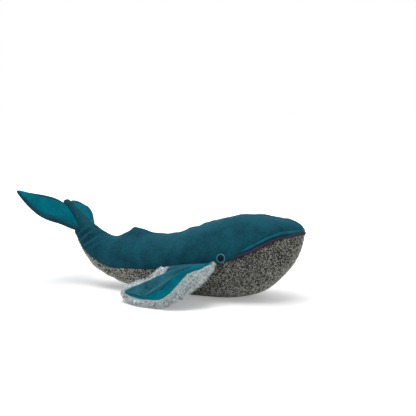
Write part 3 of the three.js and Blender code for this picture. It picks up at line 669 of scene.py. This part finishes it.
def tube_faces(rings, sides):
    """The triangles of a closed tube of rings."""
    faces = []
    for i in range(rings - 1):
        for j in range(sides):
            a, b = i * sides + j, i * sides + (j + 1) % sides
            faces += [(a, b, b + sides), (a, b + sides, a + sides)]
    last = (rings - 1) * sides
    faces += [(0, j + 1, j) for j in range(1, sides - 1)]
    faces += [(last, last + j, last + j + 1) for j in range(1, sides - 1)]
    return faces


loop_count, loop_half_width, loop_height, yarn_radius = 28200, 0.0011, 0.0018, 0.0006
root_sink, most_lean, rings, sides = 0.0007, 0.0018, 3, 3
front_clearance, rear_clearance = 0.0016, 0.0009
# the second number is painted light: how much paler the yarn is drawn at the belly's rear
light_share, painted_rear_light = 0.58, 0.30
places, outwards, draw = sow("belly_wool", loop_count, 7)
order = np.argsort(places[:, 0])
from_velvet = clearance(tree_of("velvet_right", "velvet_left"), places[order])
order = order[from_velvet > np.where(places[order, 0] > 0, front_clearance, rear_clearance)]
places, outwards, loop_count = places[order], outwards[order], len(order)
spin = draw.random(loop_count) * math.tau
helper = np.where(np.abs(outwards[:, :1]) < 0.9, [[1.0, 0, 0]], [[0, 1.0, 0]])
along = unit(np.cross(outwards, helper))
beside = np.cross(outwards, along)
x_axes = along * np.cos(spin)[:, None] + beside * np.sin(spin)[:, None]
y_axes = np.cross(outwards, x_axes)
size = 0.7 + 0.6 * draw.random(loop_count)
lean = (draw.random(loop_count) - 0.5) * most_lean
pattern = np.zeros((loop_count, rings * sides, 3))
for i in range(rings):
    turn = math.pi * i / (rings - 1)
    centre_x, centre_z = -loop_half_width * math.cos(turn), loop_height * math.sin(turn) - root_sink
    for j in range(sides):
        round_it = math.tau * j / sides
        out, side_step = yarn_radius * math.cos(round_it), yarn_radius * math.sin(round_it)
        pattern[:, i * sides + j, 0] = (centre_x - out * math.cos(turn)) * size
        pattern[:, i * sides + j, 1] = side_step + lean * math.sin(turn)
        pattern[:, i * sides + j, 2] = (centre_z + out * math.sin(turn)) * size
is_light = draw.random(loop_count) < light_share
shade = is_light * (0.35 + 0.65 * draw.random(loop_count)) + 0.1 * draw.random(loop_count)
# painted light: the yarn is drawn paler from the middle of the belly towards the tail, where more light falls
shade += painted_rear_light * np.clip((0.04 - places[:, 0]) / 0.12, 0, 1)


def yarn_material(name, dark, light, roughness, sheen, sheen_colour):
    """Yarn or hair whose colour runs from dark to light by the "shade" of each loop or strand."""
    material, tree, shader = new_material(name, roughness)
    marks = put(tree, "ShaderNodeAttribute", attribute_name="shade")
    threads = put(tree, "ShaderNodeGroup", node_tree=uneven, in_Patches=30, in_Streaks=300, in_Grain=1800)
    both = put(tree, "ShaderNodeMath", operation="MULTIPLY_ADD", in_0=threads.outputs["Streak"], in_1=0.25,
               in_2=marks.outputs["Fac"])
    colour = put(tree, "ShaderNodeMix", data_type="RGBA", in_0=both.outputs[0], in_6=dark, in_7=light)
    lift = put(tree, "ShaderNodeBump", in_Strength=0.5, in_Distance=0.0002,
               in_Height=threads.outputs["Grain"])
    set_up(tree, shader, in_Base_Color=colour.outputs[2], in_Normal=lift.outputs["Normal"],
           in_Sheen_Weight=sheen, in_Sheen_Tint=sheen_colour, in_Specular_IOR_Level=0.15)
    return material


boucle_yarn = yarn_material(
    "boucle_yarn", srgb(28, 30, 30), srgb(222, 223, 212), 0.9, 0.15, srgb(230, 228, 220),
)
half = loop_count // 2
for name, part in (("belly_loops_rear", slice(0, half)), ("belly_loops_front", slice(half, None))):
    loops = pile_from(name, pattern[part], tube_faces(rings, sides), places[part], x_axes[part],
                      y_axes[part], outwards[part], shade[part])
    # the whale's weight presses its loops flat on the floor
    for vertex in loops.data.vertices:
        vertex.co.z = max(vertex.co.z, 0.0)
    loops.data.materials.append(boucle_yarn)
    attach(loops, "body")

# The lip: a roll of the same velvet round the mouth from eye to eye, over a thin mauve piping that is sewn
# into the seam between the velvet and the belly.
# painted highlight: the lip's velvet is coloured paler than the skin's, for the light along the roll's upper
# edge
painted_highlight_lip_velvet = cloth_material(
    "painted_highlight_lip_velvet", srgb(0, 62, 80), srgb(14, 96, 114), srgb(40, 132, 148), 0.85, 0.6, srgb(110, 205, 225),
    (40, 160, 1100), 0.0004,
)
piping_cloth = cloth_material(
    "mauve_piping", srgb(38, 28, 44), srgb(60, 50, 72), srgb(92, 80, 102), 0.75, 0.2, srgb(160, 150, 190),
    (60, 300, 1400), 0.0003,
)
seam_inset, end_inset = 0.0010, 0.0045


def roll_from(name, node, voxel, material, radius, fuller, lower, droop, back, starts, full_from):
    """A roll of cloth along the mouth. It lies lower and droops at the nose, and from "full_from" back to
    "starts" it dies away under the eye."""
    made = start_from(name, [node])
    finish_with(made, "REMESH", mode="VOXEL", voxel_size=voxel)
    finish_with(made, "SMOOTH", factor=0.5, iterations=6)
    away = [vertex.normal.copy() for vertex in made.data.vertices]
    for vertex, out in zip(made.data.vertices, away):
        place = vertex.co.copy()
        nose, end = ease(place.x, 0.262, 0.293), 1 - ease(place.x, starts, full_from)
        place += out * fuller * (1 - end) * (1 + 0.8 * bell(place.y, 0.006) * (fuller > 0))
        place.z -= lower * ease(place.x, 0.18, 0.21) + droop * nose
        place.x -= back * nose
        place -= out * radius * end
        inset = seam_inset * ease(abs(place.y), 0.008, 0.03) + end_inset * end
        place.y -= math.copysign(inset, place.y)
        vertex.co = place
    settle_nose(made)
    smooth_shaded(made)
    dress(made, material)
    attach(made, "body")
    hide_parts(node)


roll_from("lip_roll_velvet", "lip_roll", 0.0011, painted_highlight_lip_velvet, radius=0.0024, fuller=-0.0006,
          lower=0, droop=0.0045, back=0.0002, starts=0.164, full_from=0.214)
roll_from("lip_piping_cloth", "lip_piping", 0.0008, piping_cloth, radius=0.0016, fuller=0.0010,
          lower=0.0028, droop=0.0008, back=0.0004, starts=0.156, full_from=0.206)

# The eyes: a satin-stitched ring in light teal thread, with the skin's velvet showing inside it and a dark
# pupil stitched in the middle.
thread = cloth_material(
    "teal_thread", srgb(36, 112, 126), srgb(62, 142, 156), srgb(100, 172, 184), 0.5, 0.2, srgb(170, 225, 235),
    (200, 700, 2600), 0.0001,
)
pupil_thread = cloth_material(
    "dark_thread", srgb(9, 7, 11), srgb(18, 15, 22), srgb(58, 54, 66), 0.45, 0.1, srgb(150, 130, 150),
    (300, 900, 2400), 0.0001, grain_share=0.25,
)
ring_radius, thread_radius, stitches, ridge_depth = 0.0080, 0.0011, 60, 0.12
pupil_radius, pupil_flatness, pupil_stitches, pupil_ridge = 0.0047, 0.42, 26, 0.00012
eye_shift = Vector((0.0015, 0, -0.0035))


def place_of(node):
    """The middle of a flat round CAD node, a little shifted, and the turn that lays Z along its axis."""
    points = np.array([v.co for v in frame["nodes"][node].data.vertices])
    middle = (points.min(0) + points.max(0)) / 2
    outwards = Vector(np.round(np.linalg.svd(points - points.mean(0))[2][2], 6))
    if outwards.y * middle[1] < 0:
        outwards = -outwards
    return Vector(middle) + eye_shift, outwards.to_track_quat("Z", "X")


for side in ("right", "left"):
    middle, turn = place_of(f"eye_ring_{side}")
    bpy.ops.object.select_all(action="DESELECT")
    bpy.ops.mesh.primitive_torus_add(
        major_segments=120, minor_segments=10, major_radius=ring_radius, minor_radius=thread_radius,
        location=middle, rotation=turn.to_euler())
    ring = bpy.context.object
    ring.name = f"eye_ring_stitched_{side}"
    for vertex in ring.data.vertices:
        angle = math.atan2(vertex.co.y, vertex.co.x)
        across = math.hypot(vertex.co.x, vertex.co.y)
        ridge = 1 + ridge_depth * math.cos(stitches * angle)
        vertex.co.z *= ridge
        out = (ring_radius + (across - ring_radius) * ridge) / across
        vertex.co.x, vertex.co.y = vertex.co.x * out, vertex.co.y * out
    bpy.ops.object.transform_apply(location=True, rotation=True, scale=True)
    ring.data.materials.append(thread)
    middle, turn = place_of(f"eye_pupil_{side}")
    bpy.ops.object.select_all(action="DESELECT")
    bpy.ops.mesh.primitive_uv_sphere_add(
        segments=40, ring_count=16, radius=pupil_radius, location=middle, rotation=turn.to_euler())
    pupil = bpy.context.object
    pupil.name = f"eye_pupil_stitched_{side}"
    for vertex in pupil.data.vertices:
        vertex.co.z *= pupil_flatness
        vertex.co.z += pupil_ridge * math.cos(vertex.co.x / pupil_radius * pupil_stitches)
    bpy.ops.object.transform_apply(location=True, rotation=True, scale=True)
    pupil.data.materials.append(pupil_thread)
    for made, node, slot_name in ((ring, "eye_ring", "thread"), (pupil, "eye_pupil", "pupil")):
        smooth_shaded(made)
        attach(made, "body")
        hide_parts(f"{node}_{side}")

# The flukes: each a flat stuffed leaf with bright suede cloth on top and dark velvet below, which turns over
# the edges. They are sewn to the sides of the tail end.
suede = cloth_material(
    "teal_suede", srgb(0, 76, 92), srgb(0, 108, 124), srgb(0, 132, 148), 0.8, 0.04, srgb(20, 200, 215),
    (30, 120, 1500), 0.0002, grain_share=0.2, shine=0.02,
)
leaf_swell, leaf_pressure, held_tip, leaf_seam_depth = 0.003, 3.0, 0.028, 0.0007
suede_mark, back_mark = 0, 1


def tip_of(leaf):
    return max((vertex.co.copy() for vertex in leaf.data.vertices), key=lambda place: abs(place.y))


def closed_leaf(name, nodes):
    """A fin or fluke's skin as one closed sheet of quads, which are numbered by panel."""
    made = start_from(name, nodes)
    keep_outer_cloth(made, nodes)
    in_edit(made)
    bpy.ops.mesh.select_all(action="SELECT")
    bpy.ops.mesh.delete_loose()
    bpy.ops.mesh.select_all(action="SELECT")
    bpy.ops.mesh.remove_doubles(threshold=sliver)
    bpy.ops.mesh.fill_holes(sides=0)
    cloth = bmesh.from_edit_mesh(made.data)
    for edge in seam_edges(cloth):
        edge.seam = True
    bmesh.update_edit_mesh(made.data)
    bpy.ops.mesh.tris_convert_to_quads(face_threshold=math.pi, shape_threshold=math.pi, seam=True)
    bpy.ops.mesh.normals_make_consistent(inside=False)
    out_of_edit(made)
    subdivide(made, 2)
    held = {v for e in made.data.edges if e.use_seam for v in e.vertices}
    leaf_tip = tip_of(made)
    held |= {vertex.index for vertex in made.data.vertices if (vertex.co - leaf_tip).length < held_tip}
    stuff(made, sorted(held), leaf_swell, leaf_pressure)
    return subdivide(made, 1)


def bend_at_root(piece):
    """Bakes a piece's place into its mesh."""
    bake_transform(piece)


def suede_to_the_tip(leaf):
    """Rounds a fluke's tip and carries the suede on to it, up to the edge between top and back."""
    leaf_tip = tip_of(leaf)
    rounded = leaf.vertex_groups.new(name="tip")
    for vertex in leaf.data.vertices:
        rounded.add([vertex.index], 1 - ease((vertex.co - leaf_tip).length, 0.016, 0.026), "REPLACE")
    finish_with(leaf, "SMOOTH", factor=0.5, iterations=16, vertex_group="tip")
    cloth = in_edit(leaf, "FACE")
    marks = cloth.faces.layers.int["panel"]
    from_tip = [(face, (face.calc_center_median() - leaf_tip).length) for face in cloth.faces]
    suede_near = [face for face, distance in from_tip if distance < 0.035 and face[marks] == suede_mark]
    face_way = sum((face.normal for face in suede_near), Vector()).normalized()
    tip_faces = [face for face, distance in from_tip if distance < 0.020]
    for face in tip_faces:
        if face.normal.dot(face_way) > 0.5:
            face[marks] = suede_mark
    # single faces left between the suede's turn to suede too
    for face in tip_faces * 4:
        beside = [other[marks] for edge in face.edges for other in edge.link_faces if other is not face]
        if beside.count(suede_mark) > len(beside) / 2:
            face[marks] = suede_mark
    out_of_edit(leaf)


for side in ("right", "left"):
    leaf = closed_leaf(f"fluke_{side}", [f"fluke_face_{side}", f"fluke_back_{side}"])
    settle_tail(leaf)
    suede_to_the_tip(leaf)
    face_cloth = take_panel(leaf, suede_mark, f"fluke_suede_{side}", leaf_seam_depth)
    back_cloth = take_panel(leaf, back_mark, f"fluke_velvet_{side}", leaf_seam_depth)
    bpy.data.objects.remove(leaf)
    for panel, material, slot_name, node in (
        (face_cloth, suede, "suede", "fluke_face"), (back_cloth, velvet, "velvet", "fluke_back"),
    ):
        dress(panel, material)
        bend_at_root(panel)
        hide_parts(f"{node}_{side}")

# The pectoral fins: dark velvet on top with a bright suede band towards the leading edge, and pale long
# pile plush below, which turns over both edges. They are sewn to the body's side seams.
# painted light: the fins' velvet is the skin's velvet coloured paler, for the light that falls on their tops
fin_velvet = cloth_material(
    "fin_teal_velvet_painted_light", srgb(0, 38, 51), srgb(30, 96, 112), srgb(62, 128, 144), 0.85, 0.45, srgb(90, 190, 212),
    (30, 110, 520), 0.00025, grain_share=0.35, nap_scale=1600,
)
fur = cloth_material(
    "pale_fur", srgb(120, 142, 150), srgb(160, 180, 186), srgb(205, 216, 218), 0.9, 0.4, srgb(225, 235, 238),
    (60, 260, 900), 0.002, grain_share=0.5,
)
body_skin = tree_of("velvet_right", "velvet_left", "belly_wool")
fin_front_root, fin_length_way = Vector((0.14, 0.085)), Vector((-0.17, 0.085)).normalized()
border_slide, tip_inset, fin_fold_depth, fin_fold_pitch = 0.011, 0.0035, 0.0040, 0.30
top_seam_depth, plush_seam_depth = 0.0016, 0.0009
velvet_mark, band_mark, plush_mark = 0, 1, 2


def slide_border(fin):
    """Cuts the suede band further forwards: the border with the plush slides over the fin's top."""
    marks = [mark.value for mark in fin.data.attributes["panel"].data]
    panels_at = [set() for _ in fin.data.vertices]
    for face, mark in zip(fin.data.polygons, marks):
        for v in face.vertices:
            panels_at[v].add(mark)
    meeting = {band_mark, plush_mark}
    border = [v.co.copy() for v, panels in zip(fin.data.vertices, panels_at) if panels == meeting]
    nearest = KDTree(len(border))
    for i, place in enumerate(border):
        nearest.insert(place, i)
    nearest.balance()
    shape = BVHTree.FromObject(fin, bpy.context.evaluated_depsgraph_get())
    uppers = [vertex.normal.z > 0.05 for vertex in fin.data.vertices]
    for vertex, upper in zip(fin.data.vertices, uppers):
        if upper:
            forwards = Vector((0.447, 0.894 if vertex.co.y > 0 else -0.894, 0))
            beyond = (vertex.co - nearest.find(vertex.co)[0]).dot(forwards)
            root = ease(abs(vertex.co.y), 0.086, 0.105)
            slid = vertex.co + forwards * border_slide * root * bell(beyond, 0.013 if beyond > 0 else 0.035)
            vertex.co = shape.find_nearest(slid)[0]


def fold_lengthwise(fin):
    """Soft folds run over a fin's top from its front root, and draw its tip in a little."""
    away = [vertex.normal.copy() for vertex in fin.data.vertices]
    for vertex, out in zip(fin.data.vertices, away):
        reach = Vector((vertex.co.x - fin_front_root.x, abs(vertex.co.y) - fin_front_root.y))
        inwards = -1 if vertex.co.y > 0 else 1
        vertex.co += Vector((tip_inset, tip_inset * inwards, 0)) * ease(reach.length, 0.09, 0.18)
        if out.z > 0:
            bearing = reach.angle_signed(fin_length_way)
            rise = ease(reach.length, 0.01, 0.07) * (1 - ease(reach.length, 0.13, 0.18)) * out.z
            folds = math.cos(math.tau * (bearing - 0.03) / fin_fold_pitch)
            vertex.co += out * fin_fold_depth * rise * folds


def velvet_and_painted_shade_at_root(fin):
    """The plush stops short of the fin's root: there the velvet turns under and is sewn to the body. Where
    the plush touches the body, the dark velvet is also painted shade along the seam.
    """
    cloth = in_edit(fin, "FACE")
    marks = cloth.faces.layers.int["panel"]
    for face in cloth.faces:
        middle = face.calc_center_median()
        touch, _, _, gap = body_skin.find_nearest(middle)
        looks_at_body = face.normal.dot((touch - middle).normalized()) > 0.4
        meets_body = gap < 0.012 and looks_at_body and face.normal.z > -0.7
        least_up = -0.3 if middle.x < 0.12 else 0.2
        # painted shade: plush faces that touch the body turn to dark velvet, which stands for the seam's
        # shadow
        touches_body = gap < 0.0065 and face.normal.z > least_up
        if face[marks] == plush_mark and (meets_body or touches_body):
            face[marks] = velvet_mark
    out_of_edit(fin)


for side in ("right", "left"):
    leaf = closed_leaf(f"fin_{side}", [f"fin_velvet_{side}", f"fin_band_{side}", f"fin_fur_{side}"])
    velvet_and_painted_shade_at_root(leaf)
    slide_border(leaf)
    fold_lengthwise(leaf)
    top_cloth = take_panel(leaf, velvet_mark, f"fin_velvet_top_{side}", top_seam_depth)
    band_cloth = take_panel(leaf, band_mark, f"fin_suede_band_{side}", top_seam_depth)
    fur_cloth = take_panel(leaf, plush_mark, f"fin_plush_{side}", plush_seam_depth)
    bpy.data.objects.remove(leaf)
    for panel, material, slot_name, node in (
        (top_cloth, fin_velvet, "velvet", "fin_velvet"), (band_cloth, suede, "suede", "fin_band"),
        (fur_cloth, fur, "fur", "fin_fur"),
    ):
        dress(panel, material)
        bend_at_root(panel)
        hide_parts(f"{node}_{side}")

# The plush's long pile: fine pale strands that lie outwards over the edges and clump together a little. Each
# is a thin three-sided spike with a bend in the middle.
strand_count, strand_length, strand_radius, root_depth = 19500, 0.0098, 0.00048, 0.003
top_clearance, under_clearance, border_reach, lowest = 0.0065, 0.002, 0.011, 0.0003
clump_scale, tuft_scale = 190, 260
# how much a strand lies away from the fin's middle, with its clump, at random, and downwards
lie_spread, lie_clump, lie_rough, lie_down = 0.4, 1.1, 0.12, np.array([0, 0, -0.2])
seed_set(5)  # noise_vector is seeded by the clock otherwise
fur_hair = yarn_material(
    "fur_hair", srgb(118, 138, 144), srgb(246, 252, 252), 0.8, 0.4, srgb(240, 244, 245),
)
for side, seed in (("right", 11), ("left", 12)):
    places, outwards, draw = sow(f"fin_plush_{side}", strand_count, seed)
    least_clear = np.where(outwards[:, 2] > -0.3, top_clearance, under_clearance)
    clear = clearance(body_skin, places) > least_clear
    places, outwards = places[clear], outwards[clear]
    tops = tree_of(f"fin_velvet_top_{side}", f"fin_suede_band_{side}")
    borders = np.array([tops.find_nearest(Vector(p))[0] for p in places])
    count = len(places)
    spread = unit(places - places.mean(0))
    from_border = places - borders
    border_distance = np.linalg.norm(from_border, axis=1)[:, None]
    near_border = np.clip(1 - border_distance / border_reach, 0, 1)
    clumps = np.array([noise_vector(Vector(p) * clump_scale) for p in places])
    rough = draw.normal(size=(count, 3))
    lie = spread * lie_spread + clumps * lie_clump + rough * lie_rough + lie_down
    over_border = from_border / (border_distance + 1e-6) * 1.2 + clumps * 0.5
    lie = lie * (1 - near_border) + over_border * near_border
    first = unit(outwards + 0.5 * lie)
    second = unit(outwards * 0.25 + lie)
    helper = unit(np.cross(first, rough))
    other = np.cross(first, helper)
    length = (strand_length * (0.6 + 0.5 * draw.random(count)))[:, None] * (1 - 0.45 * near_border)
    points = np.zeros((count, 7, 3))
    root = places - outwards * root_depth
    for j in range(3):
        round_it = math.tau * j / 3
        ring = helper * math.cos(round_it) + other * math.sin(round_it)
        points[:, j] = root + ring * strand_radius
        points[:, 3 + j] = root + first * length * 0.5 + ring * strand_radius * 0.8
    points[:, 6] = root + first * length * 0.5 + second * length * 0.5
    points[:, :, 2] = np.maximum(points[:, :, 2], lowest)
    faces = [(0, 2, 1), (3, 4, 6), (4, 5, 6), (5, 3, 6)]
    for j in range(3):
        k = (j + 1) % 3
        faces += [(j, k, 3 + k), (j, 3 + k, 3 + j)]
    x_axes, y_axes, z_axes = (np.tile(axis, (count, 1)) for axis in np.eye(3))
    tufts = np.array([waver(Vector(p) * tuft_scale) for p in places])
    shade = np.clip(0.7 + 1.5 * tufts + 0.15 * rough[:, 0], 0, 1)
    strands = pile_from(f"fin_pile_{side}", points, faces, np.zeros((count, 3)), x_axes, y_axes, z_axes,
                        shade)
    strands.data.materials.append(fur_hair)
    bend_at_root(strands)

# The filling: loose white polyester fibre, pushed in by handfuls before the last seam is closed. It stands
# back from the cloth a little, and follows each limb's settled form.
filling = cloth_material(
    "white_filling", srgb(226, 224, 216), srgb(242, 240, 234), srgb(255, 255, 252), 1.0, 0.3,
    srgb(255, 255, 255), (60, 300, 1500), 0.001,
)
filling_slack, body_voxel, limb_voxel = 0.0032, 0.005, 0.003
for node, body_name in (
    ("head_stuffing", "body"), ("middle_stuffing", "body"), ("rear_stuffing", "body"),
    ("tail_end_stuffing", "tail_end"), ("fin_stuffing_right", "fin_right"), ("fin_stuffing_left", "fin_left"),
    ("fluke_stuffing_right", "fluke_right"), ("fluke_stuffing_left", "fluke_left"),
):
    handful = start_from(node.replace("stuffing", "filling"), [node])
    voxel = body_voxel if body_name == "body" else limb_voxel
    finish_with(handful, "REMESH", mode="VOXEL", voxel_size=voxel)
    finish_with(handful, "SMOOTH", factor=0.5, iterations=4)
    if body_name.startswith(("tail", "fluke")):
        settle_tail(handful)
    elif node == "head_stuffing":
        settle_nose(handful)
    elif body_name.startswith("fin"):
        fold_lengthwise(handful)
    in_edit(handful)
    bpy.ops.mesh.select_all(action="SELECT")
    bpy.ops.transform.shrink_fatten(value=-filling_slack)
    out_of_edit(handful)
    dress(handful, filling)
    if body_name.startswith(("fluke", "fin")):
        bend_at_root(handful)
    else:
        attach(handful, body_name)
    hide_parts(node)
